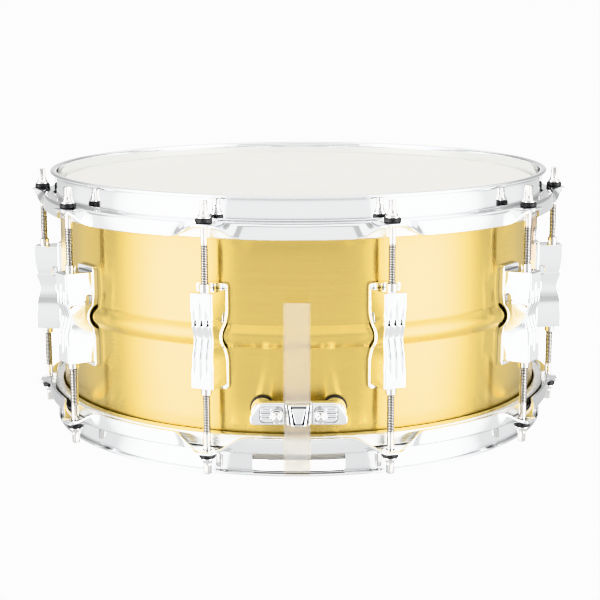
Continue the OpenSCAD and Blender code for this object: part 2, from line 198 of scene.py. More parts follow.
def around(steps):
    """Even turns, in radians, once round."""
    return [2 * pi * k / steps for k in range(steps)]


def loft(rings, wrap=False):
    """Quads between rings of equally many points; the ends are capped unless the rings wrap round."""
    n, count = len(rings[0]), len(rings)
    verts = [p for ring in rings for p in ring]
    faces = []
    for i in range(count if wrap else count - 1):
        a, b = i * n, (i + 1) % count * n
        faces += [(a + j, a + (j + 1) % n, b + (j + 1) % n, b + j) for j in range(n)]
    if not wrap:
        faces += [tuple(range(n)), tuple(range((count - 1) * n, count * n))]
    return verts, faces


def lathe(profile, steps=360):
    """A closed profile of (radius, z) turned about the z axis."""
    return loft([[(r * sin(t), -r * cos(t), z) for r, z in profile] for t in around(steps)], wrap=True)


def spindle(stations, at=(0, 0), section=None, steps=24, way=upward):
    """A solid of stations (along, radius) round an axis, upright unless way turns it; section(turn)
    scales the radius."""
    turns = around(steps)
    scales = [section(t) if section else 1 for t in turns]
    return loft([[way(at[0] + r * c * cos(t), at[1] + r * c * sin(t), w) for t, c in zip(turns, scales)]
                 for w, r in stations])


def spool(stations, at=(0, 0), section=None, steps=32):
    """A spindle whose axis points outward."""
    return spindle(stations, at, section, steps, outward)


def collar(profile, at=(0, 0), steps=40):
    """A closed profile of (outward, radius) turned round an axis that points outward."""
    return loft([[outward(at[0] + r * cos(t), at[1] + r * sin(t), w) for w, r in profile]
                 for t in around(steps)], wrap=True)


def slab(outline, low, high, edge=0.4, way=outward):
    """An outline raised from low to high, with its rims rounded by edge."""
    turns = [radians(30 * k) for k in range(4)]
    front = [(high - edge * (1 - sin(t)), edge * (1 - cos(t))) for t in turns]
    back = [(low + edge * (1 - sin(t)), edge * (1 - cos(t))) for t in turns]
    rings = back[::-1] + front
    return loft([[way(u, v, w) for u, v in (inset(outline, d) if d else outline)] for w, d in rings])


def block(width, height, radius, at, low, high, edge=0.4, way=outward):
    """A slab whose outline is a rectangle with round corners."""
    return slab(slot_outline(width, height, radius, at), low, high, edge, way)


def tube(path, radius, sides=8):
    """A round bar along a path of points, capped at both ends."""
    rings = []
    side = None
    for i, p in enumerate(path):
        ahead = (Vector(path[min(i + 1, len(path) - 1)]) - Vector(path[max(i - 1, 0)])).normalized()
        if side is None:
            side = ahead.orthogonal().normalized()
        side = (side - ahead * side.dot(ahead)).normalized()
        other = ahead.cross(side)
        rings.append([tuple(Vector(p) + (side * cos(t) + other * sin(t)) * radius) for t in around(sides)])
    return loft(rings)


def shell_seat(radius):
    """The room inside the shell, to cut the backs of what stands on it."""
    return spindle([(-HALF, radius), (HALF, radius)], steps=360)


def polygon(count, most):
    """A section with count flats and eased corners, as a share of the radius to its flats."""
    def share(turn):
        turn = (turn + pi / count) % (2 * pi / count) - pi / count
        return min(1 / cos(turn), most)
    return share


def join(*solids):
    """Several solids as one."""
    verts, faces = [], []
    for v, f in solids:
        start = len(verts)
        verts += v
        faces += [tuple(start + i for i in face) for face in f]
    return verts, faces


def turned(solid, azimuth):
    """A solid moved round the drum's axis by an azimuth in degrees."""
    c, s = cos(radians(azimuth)), sin(radians(azimuth))
    return [(x * c - y * s, x * s + y * c, z) for x, y, z in solid[0]], solid[1]


def moved(solid, x=0, y=0):
    return [(p[0] + x, p[1] + y, p[2]) for p in solid[0]], solid[1]


def mirrored(solid):
    """A solid's mirror image from one side to the other."""
    return [(-x, y, z) for x, y, z in solid[0]], [face[::-1] for face in solid[1]]


def both(solid):
    """A solid and its mirror image on the other side."""
    return join(mirrored(solid), solid)


def upside_down(solid):
    """A solid turned over about the outward axis, from the batter side to the snare side."""
    return [(-x, y, -z) for x, y, z in solid[0]], solid[1]


def at_lugs(solid):
    """A copy of a solid at each lug."""
    return join(*[turned(solid, azimuth) for azimuth in LUG_ANGLES])


def at_lug_ends(solid):
    """A copy of a solid at the upper and the lower end of each lug."""
    upper = at_lugs(solid)
    return join(upper, upside_down(upper))


# ---- meshes ----


def mesh_of(name, solid, sharp=32):
    """A mesh in metres in the drum's frame, with its normals outward and smooth up to an angle."""
    mesh = bpy.data.meshes.new(name)
    mesh.from_pydata([tuple(Vector(p) * MM + MID) for p in solid[0]], [], solid[1])
    work = bmesh.new()
    work.from_mesh(mesh)
    bmesh.ops.remove_doubles(work, verts=work.verts, dist=1e-7)
    bmesh.ops.recalc_face_normals(work, faces=work.faces)
    work.to_mesh(mesh)
    work.free()
    smooth_up_to(mesh, sharp)
    return mesh


def smooth_up_to(mesh, sharp):
    """Shades a mesh smooth, with hard edges where its faces turn by more than an angle in degrees."""
    mesh.shade_smooth()
    mesh.set_sharp_from_angle(angle=radians(sharp))


def show(name, mesh):
    made = bpy.data.objects.new(name, mesh)
    bpy.context.scene.collection.objects.link(made)
    return made


def cut(solid, cutters, sharp=32):
    """The mesh of a solid with other solids cut away, by exact booleans."""
    target = show("target", mesh_of("target", solid))
    tools = [show("tool", mesh_of("tool", cutter)) for cutter in cutters]
    for tool in tools:
        boolean = target.modifiers.new("cut", "BOOLEAN")
        boolean.operation = "DIFFERENCE"
        boolean.solver = "EXACT"
        boolean.object = tool
    bpy.context.view_layer.update()
    ready = target.evaluated_get(bpy.context.evaluated_depsgraph_get())
    made = bpy.data.meshes.new_from_object(ready)
    for helper in tools + [target]:
        bpy.data.objects.remove(helper)
    smooth_up_to(made, sharp)
    return made


# ---- pieces ----


def piece(name, mesh, body, material, node=None, turn=0, flip=False, flat=False):
    """Puts a mesh on its CAD body in place of a CAD node, turned round the drum's axis and over if asked."""
    if isinstance(mesh, tuple):
        mesh = mesh_of(name, mesh)
    if not mesh.materials:
        mesh.materials.append(material)
    made = show(name, mesh)
    over = Matrix.Rotation(pi, 4, "Y") if flip else Matrix.Identity(4)
    lift = Matrix.Translation(MID)
    made.matrix_world = lift @ Matrix.Rotation(radians(turn), 4, "Z") @ over @ lift.inverted()
    if flat:
        weighted = made.modifiers.new("flat_faces", "WEIGHTED_NORMAL")
        weighted.keep_sharp = True
    if body:
        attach(made, body)
    if node:
        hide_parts(node)
    return made


# ---- material nodes ----


class Recipe:
    """A node material, built from calls whose values are numbers or other nodes' outputs."""

    def __init__(self, name, tree=None):
        if tree is None:
            self.material = bpy.data.materials.new(name)
            self.material.use_nodes = True
            tree = self.material.node_tree
        self.tree = tree
        self.tree.nodes.clear()

    def node(self, kind, inputs=None, **settings):
        made = self.tree.nodes.new("ShaderNode" + kind)
        for key, value in settings.items():
            setattr(made, key, value)
        for key, value in (inputs or {}).items():
            if isinstance(value, bpy.types.NodeSocket):
                self.tree.links.new(value, made.inputs[key])
            else:
                made.inputs[key].default_value = value
        return made

    def maths(self, operation, *values):
        return self.node("Math", dict(enumerate(values)), operation=operation).outputs[0]

    def axes(self, vector):
        return self.node("SeparateXYZ", {0: vector}).outputs

    def place(self, stretch=(1, 1, 1)):
        """The piece's own coordinates in millimetres, scaled along each axis."""
        spot = self.node("TexCoord").outputs["Object"]
        return self.node("Mapping", {"Vector": spot, "Scale": [s / MM for s in stretch]}).outputs[0]

    def reach(self, place):
        """How far a place is from the upright axis."""
        x, y, _ = self.axes(place)
        flat = self.node("CombineXYZ", {"X": x, "Y": y}).outputs[0]
        return self.node("VectorMath", {0: flat}, operation="LENGTH").outputs["Value"]

    def noise(self, where, scale, detail=3.0, rough=0.5):
        inputs = {"Vector": where, "Scale": scale, "Detail": detail, "Roughness": rough}
        return self.node("TexNoise", inputs).outputs["Fac"]

    def open_sky(self, distance, **settings):
        """How little of the sky is hidden by what lies within a distance in millimetres."""
        return self.node("AmbientOcclusion", {"Distance": distance * MM}, samples=8, **settings).outputs["AO"]

    def between(self, amount, low, high, least=0.0, most=1.0, kind="LINEAR"):
        """Maps an amount in least..most to low..high."""
        inputs = {"Value": amount, "From Min": least, "From Max": most, "To Min": low, "To Max": high}
        return self.node("MapRange", inputs, interpolation_type=kind).outputs[0]

    def ease(self, amount, least, most, low, high):
        """Goes from low to high, with no slope at either end, as an amount goes from least to most."""
        return self.between(amount, low, high, least, most, "SMOOTHSTEP")

    def blend(self, amount, first, second):
        """A colour between two, which are (red, green, blue) or a node's output."""
        ends = [(*c, 1) if isinstance(c, tuple) else c for c in (first, second)]
        return self.node("Mix", {0: amount, 6: ends[0], 7: ends[1]}, data_type="RGBA").outputs[2]

    def bump(self, height, depth, strength=1.0):
        """A bump whose height of 1 is depth millimetres."""
        return self.node("Bump", {"Height": height, "Distance": depth * MM, "Strength": strength}).outputs[0]

    def shader(self, kind, **inputs):
        return self.node(kind, {key.replace("_", " "): value for key, value in inputs.items()}).outputs[0]

    def surface(self, **inputs):
        return self.shader("BsdfPrincipled", **inputs)

    def mix(self, share, first, second):
        return self.node("MixShader", {0: share, 1: first, 2: second}).outputs[0]

    def done(self, shader):
        self.tree.links.new(shader, self.node("OutputMaterial").inputs["Surface"])
        return self.material


def brushed_brass():
    """Brass brushed round the shell under clear lacquer, with painted shade where another part touches it."""
    r = Recipe("brushed_brass")
    fine = r.noise(r.place((0.03, 0.03, 9.0)), 1.0, 4.0, 0.6)
    broad = r.noise(r.place((0.008, 0.008, 0.9)), 1.0, 3.0)
    patch = r.noise(r.place((0.012, 0.012, 0.012)), 1.0, 2.0)
    tone = r.maths("ADD", r.maths("MULTIPLY", fine, 0.6), r.maths("MULTIPLY", broad, 0.4))
    colour = r.blend(r.between(tone, 0, 1, 0.3, 0.7), (0.845, 0.625, 0.205), (0.885, 0.675, 0.235))
    # Painted shade: within 2 mm of another part the brass turns dark brown, except near the bearing edges.
    height = r.maths("ABSOLUTE", r.maths("ADD", r.axes(r.place())[2], -MID.z / MM))
    near_edge = r.ease(height, 64.0, 70.0, 0.0, 1.0)
    clear = r.maths("MAXIMUM", near_edge, r.ease(r.open_sky(2.0), 0.3, 0.9, 0.0, 1.0))
    colour = r.blend(clear, (0.22, 0.14, 0.04), colour)
    rough = r.maths("ADD", r.between(fine, 0.23, 0.27, 0.3, 0.7), r.between(patch, -0.015, 0.015, 0.3, 0.7))
    upright = r.node("CombineXYZ", {"Z": 1.0}).outputs[0]
    return r.done(r.surface(
        Base_Color=colour, Metallic=1.0, Roughness=rough, Anisotropic=1.0, Tangent=upright,
        Normal=r.bump(fine, 0.006, 0.2), Coat_Weight=0.3, Coat_Roughness=0.2, Coat_IOR=1.5))


def chrome(crease_shade_width):
    """Bright plating with a faint orange peel, with painted shade in creases narrower than a given width."""
    r = Recipe("chrome")
    tone = r.blend(r.noise(r.place(), 0.05, 2.0), (0.918, 0.926, 0.932), (0.938, 0.944, 0.948))
    # Painted shade: the base colour turns near black in creases, found by occlusion within the piece itself.
    clear = r.ease(r.open_sky(crease_shade_width, only_local=True), 0.35, 0.92, 0.0, 1.0)
    haze = r.noise(r.place(), 0.5, 3.0)
    peel = r.noise(r.place(), 0.12, 2.0)
    return r.done(r.surface(
        Base_Color=r.blend(clear, (0.10, 0.10, 0.11), tone), Metallic=1.0,
        Roughness=r.between(haze, 0.03, 0.06, 0.3, 0.7), Normal=r.bump(peel, 0.04, 0.2)))


def grained(name, grain, tones, rough, span=(0.0, 1.0), dent=(0.01, 0.3), **more):
    """A finish whose tone, roughness and relief all follow one noise, given as (stretch, scale, detail)."""
    r = Recipe(name)
    stretch, scale, detail = grain
    amount = r.noise(r.place(stretch), scale, detail)
    return r.done(r.surface(
        Base_Color=r.blend(amount, *tones), Roughness=r.between(amount, *rough, *span),
        Normal=r.bump(amount, *dent), **more))


def coated_film():
    """Polyester with a sprayed white coat of fine grit."""
    r = Recipe("coated_film")
    grit = r.noise(r.place(), 2.2, 6.0, 0.7)
    cloud = r.noise(r.place(), 0.03, 3.0)
    return r.done(r.surface(
        Base_Color=r.blend(cloud, (0.86, 0.845, 0.80), (0.91, 0.90, 0.865)),
        Roughness=r.between(grit, 0.5, 0.75), Normal=r.bump(grit, 0.03, 0.5), Specular_IOR_Level=0.4,
        Subsurface_Weight=0.15, Subsurface_Radius=(0.001, 0.001, 0.0008)))


def clear_film():
    """Clear polyester: mostly see-through, with a gloss and a trace of haze that thickens at its rim."""
    r = Recipe("clear_film")
    ripple = r.noise(r.place(), 0.03, 2.0)
    gloss = r.shader("BsdfGlossy", Roughness=0.04, Normal=r.bump(ripple, 0.05, 0.4))
    behind = r.shader("BsdfTranslucent", Color=(0.9, 0.92, 0.94, 1))
    front = r.shader("BsdfDiffuse", Color=(0.92, 0.92, 0.92, 1))
    clear = r.shader("BsdfTransparent", Color=(0.97, 0.98, 0.985, 1))
    rim = r.ease(r.reach(r.place()), SHELL_R - 5, SHELL_R - 3, 0.0, 0.6)
    share = r.maths("MAXIMUM", r.between(ripple, 0.2, 0.28), rim)
    cloudy = r.mix(share, clear, r.mix(0.6, behind, front))
    return r.done(r.mix(r.shader("Fresnel", IOR=1.3), cloudy, gloss))


def strap_film():
    """Milky plastic strip, mostly see-through, with faint drawn lines along its length."""
    r = Recipe("strap_film")
    drawn = r.noise(r.place((2.5, 0.15, 0.15)), 1.0, 3.0)
    cloud = r.noise(r.place(), 0.08, 2.0)
    tone = r.blend(drawn, (0.82, 0.825, 0.85), (0.88, 0.885, 0.91))
    relief = r.bump(drawn, 0.01, 0.3)
    front = r.surface(Base_Color=tone, Roughness=0.4, Specular_IOR_Level=0.25, Normal=relief)
    body = r.mix(0.25, front, r.shader("BsdfTranslucent", Color=tone))
    through = r.shader("BsdfTransparent", Color=(1.0, 0.985, 0.95, 1))
    side = r.maths("ABSOLUTE", r.maths("ADD", r.axes(r.place())[0], -STRAP_SHIFT))
    milky = r.maths("MULTIPLY", r.between(cloud, 0.35, 0.40), r.ease(side, 7.3, 8.0, 1.0, 0.6))
    milky = r.between(r.node("LightPath").outputs["Is Glossy Ray"], milky, 0.08)
    return r.done(r.mix(milky, through, body))


def threaded_steel():
    """Plated steel whose thread is dark in its valleys."""
    r = Recipe("threaded_steel")
    beside = r.node("VectorMath", {0: r.place(), 1: (0, ROD_CIRCLE, 0)}, operation="ADD").outputs[0]
    crest = r.ease(r.reach(beside), ROD_R - 0.5, ROD_R - 0.1, 0.0, 1.0)
    end = THREAD_TOP + MID.z / MM
    plain = r.ease(r.axes(r.place())[2], end - 0.6, end, 0.0, 1.0)
    grain = r.noise(r.place((1, 1, 4)), 1.5, 4.0)
    tone = r.blend(r.maths("MAXIMUM", crest, plain), (0.22, 0.205, 0.19), (0.80, 0.79, 0.775))
    return r.done(r.surface(
        Base_Color=tone, Metallic=1.0, Roughness=r.between(grain, 0.16, 0.26, 0.3, 0.7),
        Normal=r.bump(grain, 0.01, 0.3)))


BRASS = brushed_brass()
# The number given to chrome() is the width of the creases that get painted shade.
CHROME = chrome(1.8)
HOOP_CHROME = chrome(4.5)
COATED = coated_film()
CLEAR = clear_film()
STRAP = strap_film()
THREADED = threaded_steel()
NICKEL = grained("nickel_steel", ((1, 1, 4), 1.5, 4.0), [(0.74, 0.735, 0.73)] * 2, (0.14, 0.24), (0.3, 0.7),
                 Metallic=1.0)
ALUMINIUM = grained("ring_aluminium", ((0.05, 0.05, 5), 1.0, 4.0), [(0.86, 0.86, 0.85)] * 2, (0.22, 0.36),
                    (0.3, 0.7), Metallic=1.0)
NYLON = grained("black_nylon", ((1, 1, 1), 4.0, 4.0), [(0.008, 0.008, 0.009), (0.022, 0.022, 0.024)],
                (0.38, 0.55), dent=(0.02, 0.4))
SNARE_STEEL = grained("snare_steel", ((4, 0.5, 4), 1.0, 3.0), [(0.78, 0.79, 0.80)] * 2, (0.18, 0.3),
                      dent=(0.0, 0.0), Metallic=1.0)
PALE = grained("pale_plating", ((5, 0.4, 5), 1.0, 4.0), [(0.84, 0.84, 0.83), (0.92, 0.92, 0.90)], (0.4, 0.55),
               Metallic=0.25)
BADGE = grained("badge_metal", ((0.3, 0.3, 6), 1.0, 4.0), [(0.70, 0.52, 0.34), (0.82, 0.64, 0.45)],
                (0.25, 0.4), Metallic=1.0)
ENAMEL = grained("black_enamel", ((1, 1, 1), 0.6, 2.0), [(0.012, 0.010, 0.010), (0.03, 0.026, 0.024)],
                 (0.15, 0.15), dent=(0.03, 0.3), Coat_Weight=0.5)

# ---- shell ----

vent_low, vent_high = corners("badge")
BADGE_AZIMUTH = 72
BADGE_W = 30.0
BADGE_H = vent_high.z - vent_low.z
BADGE_Z = (vent_low.z + vent_high.z) / 2
VENT_R = 4.0


def shell_profile():
    """The sheet's section: bearing edges that lean in, and a rolled bead with soft feet."""
    edge_in = 3.4
    foot = 2.2  # radius of the blend at each side of the bead
    crown = (BEAD_HALF ** 2 + BEAD_PROUD ** 2) / (2 * BEAD_PROUD)
    steps = 24
    outer = [(SHELL_R - edge_in, HALF - 0.05), (SHELL_R - 0.35, HALF - edge_in + 0.3),
             (SHELL_R, HALF - edge_in - 0.6)]
    reach = BEAD_HALF + foot
    for k in range(steps + 1):
        z = reach * cos(pi * k / steps)
        arch = sqrt(max(0.0, crown ** 2 - z ** 2)) - (crown - BEAD_PROUD)
        blend = foot * 0.28 * exp(-((abs(z) - BEAD_HALF) / (0.45 * foot)) ** 2)
        outer.append((SHELL_R + max(arch, 0) + blend * (1 if abs(z) < reach - 0.01 else 0), z))
    outer += [(r, -z) for r, z in reversed(outer[:3])]
    inner = [(r - WALL, z * (1 - 0.2 / HALF)) for r, z in outer]
    return outer + inner[::-1]


vent_hole = spool([(SHELL_R - 5, VENT_R + 0.85), (SHELL_R + 5, VENT_R + 0.85)], (0, BADGE_Z))
shell_mesh = cut(lathe(shell_profile()), [turned(vent_hole, BADGE_AZIMUTH)], 50)
piece("shell_body", shell_mesh, "root", BRASS, "shell")

# ---- heads ----


def film_profile():
    """A head's film: flat top, collar over the bearing edge, skirt into its ring."""
    top = HALF + 0.25
    thickness = 0.25
    outer = [(0, top)] + arc((SHELL_R - 3.6, top - 1.4), 1.4, 90, 45, 5)
    outer += [(SHELL_R + 0.05, HALF - 3.3), (SHELL_R + 0.5, HALF - 4.3), (SHELL_R + 0.55, STEP_Z - 0.9)]
    inner = []
    for i, (r, z) in enumerate(outer):
        inset_r = 0.05 if i == 0 else 0.7 * thickness
        inner.append((max(0, r - inset_r), z - (thickness if i < 6 else 0.12)))
    return outer + inner[::-1]


def ring_profile():
    """The metal channel a head is set in, with rolled corners."""
    low, high = ring_low.z, ring_high.z
    inside, outside = SHELL_R + 1.1, ring_high.x
    return rounded([(inside, low, 0.8), (outside, low, 1.6), (outside, high, 1.6), (inside, high, 0.8)])


def head(side, material, flip):
    """A head: its film, whose skirt follows the hoop, and the ring it is set in."""
    hoop_set = f"{side}_hoop_set"
    film = lathe(film_profile())
    if flip:
        film = upside_down(film)
    film = piece(f"{side}_head_film", film, None, material, f"{side}_film")
    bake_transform(film)
    piece(f"{side}_head_ring", lathe(ring_profile()), hoop_set, ALUMINIUM, f"{side}_flesh_hoop", flip=flip)


head("batter", COATED, False)
head("snare_side", CLEAR, True)

# ---- hoops ----

EAR_FLAT = 3.5  # half the width over which an ear lies flat
BELL_HALF = 28.0  # half the width over which the apron rises to an ear
EAR_FRONT = 5.4  # half the width of an ear's straight front edge
BEND_R = 2.6  # outer radius of the bend from step to apron
GATE_W, GATE_H = 60.0, 12.0
GATE_Z = RIM_Z - HOOP_T - 0.5 - GATE_H / 2


def ear_shape(s):
    """Turn of the flange below level in degrees, and its length, at s mm from an ear's middle."""
    s = abs(s)
    hang = APRON_H - BEND_R
    reach = EAR_R - (APRON_R - BEND_R)
    turn = 0.5 + 89.5 * smooth((s - EAR_FLAT) / (BELL_HALF - EAR_FLAT))
    length = hang + (reach - hang) * (1 - smooth((s - EAR_FRONT) / 8.0))
    corner = 1.8
    past = s - EAR_FRONT
    if 0 < past < corner:
        length -= corner - sqrt(corner ** 2 - past ** 2)
    elif past >= corner:
        length -= corner * (1 - smooth((past - corner) / 6.0))
    return turn, length


def hoop_profile(s):
    """The hoop's sheet at s mm from an ear's middle: rolled lip, free wall, step, then apron or ear."""
    turn, length = ear_shape(s)
    start = APRON_R - BEND_R
    lip = HOOP_T / 2
    outer = arc((WALL_IN + 1.7, RIM_Z - 1.7), 1.7, 180, 90, 6)
    outer += arc((RIM_R - lip, RIM_Z - lip), lip, 90, -90, 8)
    outer += arc((WALL_OUT + 0.9, RIM_Z - HOOP_T - 0.9), 0.9, 90, 180, 4)
    outer += arc((WALL_OUT + 1.5, STEP_Z + 1.5), 1.5, 180, 270, 6)
    outer += arc((start, STEP_Z - BEND_R), BEND_R, 90, 90 - turn, 8)
    c, s = cos(radians(turn)), sin(radians(turn))
    end = outer[-1]
    centre = (end[0] + c * (length - lip) - s * lip, end[1] - s * (length - lip) - c * lip)
    tip = arc(centre, lip, 90 - turn, -90 - turn, 8)
    inner = arc((start, STEP_Z - BEND_R), BEND_R - HOOP_T, 90 - turn, 90, 4)
    inner += arc((WALL_IN + 2.4, STEP_Z - HOOP_T + 2.4), 2.4, 270, 180, 5)
    return outer + tip + inner


def hoop_solid():
    """The hoop without its holes, with closer sections where an ear rises."""
    pitch = 2 * pi * ROD_CIRCLE / LUG_COUNT
    fine, coarse = 0.75, 4.0
    stops = []
    s = -pitch / 2
    while s < pitch / 2 - 1e-6:
        stops.append(s)
        s += fine if abs(s) < BELL_HALF + 2 else coarse
    rings = []
    for azimuth in LUG_ANGLES:
        for s in stops:
            t = radians(azimuth) + s / ROD_CIRCLE
            rings.append([(r * sin(t), -r * cos(t), z) for r, z in hoop_profile(s)])
    return loft(rings, wrap=True)


rod_holes = at_lugs(spindle([(STEP_Z - 5, 3.1), (STEP_Z + 2, 3.1)], (0, -ROD_CIRCLE)))
gate = block(GATE_W, GATE_H, 1.5, (0, GATE_Z), WALL_IN - 8, WALL_OUT + 2, 0.01)
upper_hoop = cut(hoop_solid(), [rod_holes])
lower_hoop = cut(hoop_solid(), [rod_holes, gate, turned(gate, 180)])
piece("batter_rim_hoop", upper_hoop, "batter_hoop_set", HOOP_CHROME, "batter_hoop")
piece("snare_side_rim_hoop", lower_hoop, "snare_side_hoop_set", HOOP_CHROME, "snare_side_hoop", flip=True)

# ---- tension rods ----

THREAD_PITCH = 25.4 / 24
THREAD_DEPTH = 0.65
SHANK_R = 2.45
KEY_HALF = 2.45  # half the width of the square key head
square = polygon(4, 1.22)


def rod_ring(z, radius):
    """One ring of a rod, whose radius is a number or a function of the turn."""
    turns = around(24)
    radii = [radius(t) if callable(radius) else radius for t in turns]
    return [(r * cos(t), r * sin(t) - ROD_CIRCLE, z) for t, r in zip(turns, radii)]


def thread_rings():
    """The rings of a thread that starts and ends softly."""
    rings = []
    per_turn = 6
    count = int((THREAD_TOP - rod_low.z - 1.5) / THREAD_PITCH * per_turn)
    for k in range(count):
        z = rod_low.z + 1.2 + k * THREAD_PITCH / per_turn
        fade = smooth(k / 6) * smooth((count - 1 - k) / 8)

        def radius(t):
            phase = (z / THREAD_PITCH - t / (2 * pi)) % 1
            return ROD_R - 0.25 * (1 - fade) - THREAD_DEPTH * abs(2 * phase - 1) * fade

        rings.append(rod_ring(z, radius))
    return rings


def rod_solid():
    """A rod from its threaded end up: shank, collar, flare and square key."""
    low, high, seat = rod_low.z, rod_high.z, STEP_Z + WASHER_H
    rings = [rod_ring(low, 1.6), rod_ring(low + 0.8, 2.1)] + thread_rings()
    rings += [rod_ring(z, r) for z, r in (
        (THREAD_TOP, SHANK_R), (seat + 0.05, SHANK_R), (seat + 0.05, 4.4), (seat + 0.3, 4.75),
        (seat + 1.05, 4.75), (seat + 1.3, 4.5))]
    rings += [rod_ring(seat + 1.35 + 3.25 * k / 6, 2.95 + 1.15 * (1 - k / 6) ** 1.8) for k in range(7)]
    rings.append(rod_ring(seat + 4.75, 3.0))
    for z, half in ((seat + 4.95, KEY_HALF), (high - 0.7, KEY_HALF), (high - 0.2, KEY_HALF - 0.3),
                    (high, KEY_HALF - 0.9)):
        rings.append(rod_ring(z, lambda t: half * square(t)))
    return loft(rings)


rod_mesh = mesh_of("tension_rod", rod_solid(), 40)
for side, flip in (("batter", False), ("snare_side", True)):
    for number, azimuth in zip(NUMBERS, LUG_ANGLES):
        node = f"{side}_rod_{number}"
        piece(f"{side}_tension_rod_{number}", rod_mesh, node, THREADED, node, turn=azimuth, flip=flip)

washer_in = ROD_R + 0.35
washer_profile = rounded([
    (washer_in, STEP_Z, 0.2), (WASHER_R, STEP_Z, 0.45), (WASHER_R, STEP_Z + WASHER_H, 0.6),
    (washer_in, STEP_Z + WASHER_H, 0.2)], 3)
washers = at_lugs(moved(lathe(washer_profile, 48), y=-ROD_CIRCLE))
piece("batter_rod_washers", washers, "batter_hoop_set", NYLON, "batter_washers")
piece("snare_side_rod_washers", washers, "snare_side_hoop_set", NYLON, "snare_side_washers", flip=True)

# ---- lugs ----

LUG_HALF = 31.3  # half the height of a lug's body
LUG_W = 15.4
LUG_DRAFT = 2.3  # how much further out each flank stands at its foot
FOOT_R = SHELL_R + 3.2
NOTCH_R = 10.1  # radius of the notch that clears the shell's bead
NOTCH_OUT = SHELL_R + 5 - NOTCH_R  # how far out the notch's middle stands
NUT_R = 3.65


def waist(z, reach):
    """Goes from 0 at reach to 1 at the lug's middle, with no slope at either."""
    return (1 + cos(pi * z / reach)) / 2 if abs(z) < reach else 0


def body_half(z):
    """Half the width of the lug's body at height z."""
    return LUG_W / 2 - 0.8 * waist(z, 20)


def bevel_drop(inside, radius):
    """How far a rounded edge lies below its face, at a distance inside the edge."""
    gone = radius - inside
    return radius - sqrt(max(0, radius ** 2 - gone ** 2)) if gone > 0 else 0


def lug_face(z):
    """How far out the lug's front stands: flat, then sloping in from both ends to a waist."""
    reach = 12.0
    dip = 3.3 * (0.6 * max(0, 1 - abs(z) / reach) + 0.4 * waist(z, reach))
    return LUG_FACE - dip - bevel_drop(LUG_HALF - abs(z), 1.2)


def flute_depth(x, z):
    """Depth of the flutes in the lug's front: fine lines that end in a pit above the waist."""
    depth = 0
    for at, top in ((0, 26), (4.15, 21.3), (-4.15, 21.3), (7.4, 21.3), (-7.4, 21.3)):
        line = 0.7 * smooth((top - abs(z)) / 5) if z < -1 or z > 10 else 0.2
        pit = 0.9 * smooth((14.8 - z) / 3) if z > 10 else 0.4 * exp(-(z / 0.7) ** 2)
        depth += (line + pit) * exp(-((x - at) / (0.6 + 0.25 * pit)) ** 2)
    return depth


def lug_section(z, beyond=False, ease=0.0):
    """The lug's outline (sideways, outward) at height z, from the foot's back round the front.
    Beyond the body only the foot is left. ease draws the body in, for the rounded rim of its end."""
    body = body_half(z) - ease
    draft = LUG_DRAFT * (1 - waist(z, 16))
    foot = 6.9 + 2.5 * min(1, abs(z) / 9) ** 1.5 + 1.6 * max(0, (abs(z) - 9) / (FOOT_HALF - 9))
    foot = max(foot, body_half(z) + draft + 0.9)
    corner, edge = 2.4, 0.7
    lip = NOTCH_OUT + sqrt(max(0, (NOTCH_R + 1.3) ** 2 - z ** 2))
    top = max(FOOT_R, lip) - bevel_drop(FOOT_HALF - abs(z), edge)
    foot -= bevel_drop(FOOT_HALF - abs(z), corner)
    face = lug_face(z) - ease
    half = [(foot, SHELL_R - 3)]
    half += arc((foot - edge, top - edge), edge, 0, 90, 4)
    wide = min(1.6, max(0.2, foot - edge - body - draft))
    tall = wide + 3.4 * smooth((abs(z) - 16) / 12)
    rim, count = 1.1, 22
    flat = body - rim
    if beyond:
        span = foot - edge
        half += [(span * (1 - k / (12 + count)), top) for k in range(1, 13 + count)]
    else:
        root = body + draft
        turns = [radians(270 - 18 * k) for k in range(6)]
        half += [(root + wide + wide * cos(t), top + tall + tall * sin(t)) for t in turns]
        half += arc((body - rim, face - rim), rim, 0, 90, 5)
        half += [(flat * (1 - k / count), face) for k in range(1, count + 1)]
        half = [(x, y - (flute_depth(x, z) if y > face - 2.5 else 0)) for x, y in half]
    return half + [(-x, y) for x, y in reversed(half[:-1])]


def lug_body():
    """The foot plate and, between two flat ends with rounded rims, the block with its fluted front."""
    soft = 0.8
    upper = [(LUG_HALF * k / 72, False, 0) for k in range(70)]
    for t in (0, 30, 60, 90):
        upper.append((LUG_HALF - soft + soft * sin(radians(t)), False, soft - soft * cos(radians(t))))
    upper += [(z, True, 0) for z in [LUG_HALF, 32.3] + [FOOT_HALF - 0.4 * k for k in range(6, -1, -1)]]
    lower = [(-z, beyond, ease) for z, beyond, ease in reversed(upper[1:])]
    return loft([[outward(x, z, r) for x, r in lug_section(z, beyond, ease)]
                 for z, beyond, ease in lower + upper])


def lug_mesh():
    """The lug fitted to the shell and its bead, with a hollow and a bore in each end and two dimples."""
    hollow_out = ROD_CIRCLE - 4.5
    depth = hollow_out - SHELL_R + 4
    hollow = block(LUG_W - 4, depth, 1.5, (0, depth / 2 - hollow_out), 12, LUG_HALF - 2.5, 0.01, upward)
    bore = spindle([(15, NUT_R + 0.1), (LUG_HALF + 3, NUT_R + 0.1)], (0, -ROD_CIRCLE), steps=40)
    dimple = block(4.4, 7.6, 2.19, (SHELL_R + 6.2, 12.6), LUG_W / 2, LUG_W / 2 + 3, 0.3, across)
    notch = slab(circle(NOTCH_R, 64, (NOTCH_OUT, 0)), -13, 13, 0.01, across)
    cutters = [shell_seat(SHELL_R), notch, upside_down(hollow), upside_down(bore), mirrored(dimple), hollow,
               bore, dimple]
    return cut(lug_body(), cutters, 40)


chrome_lug = lug_mesh()
for number, azimuth in zip(NUMBERS, LUG_ANGLES):
    piece(f"chrome_lug_{number}", chrome_lug, "root", CHROME, f"lug_{number}", turn=azimuth, flat=True)

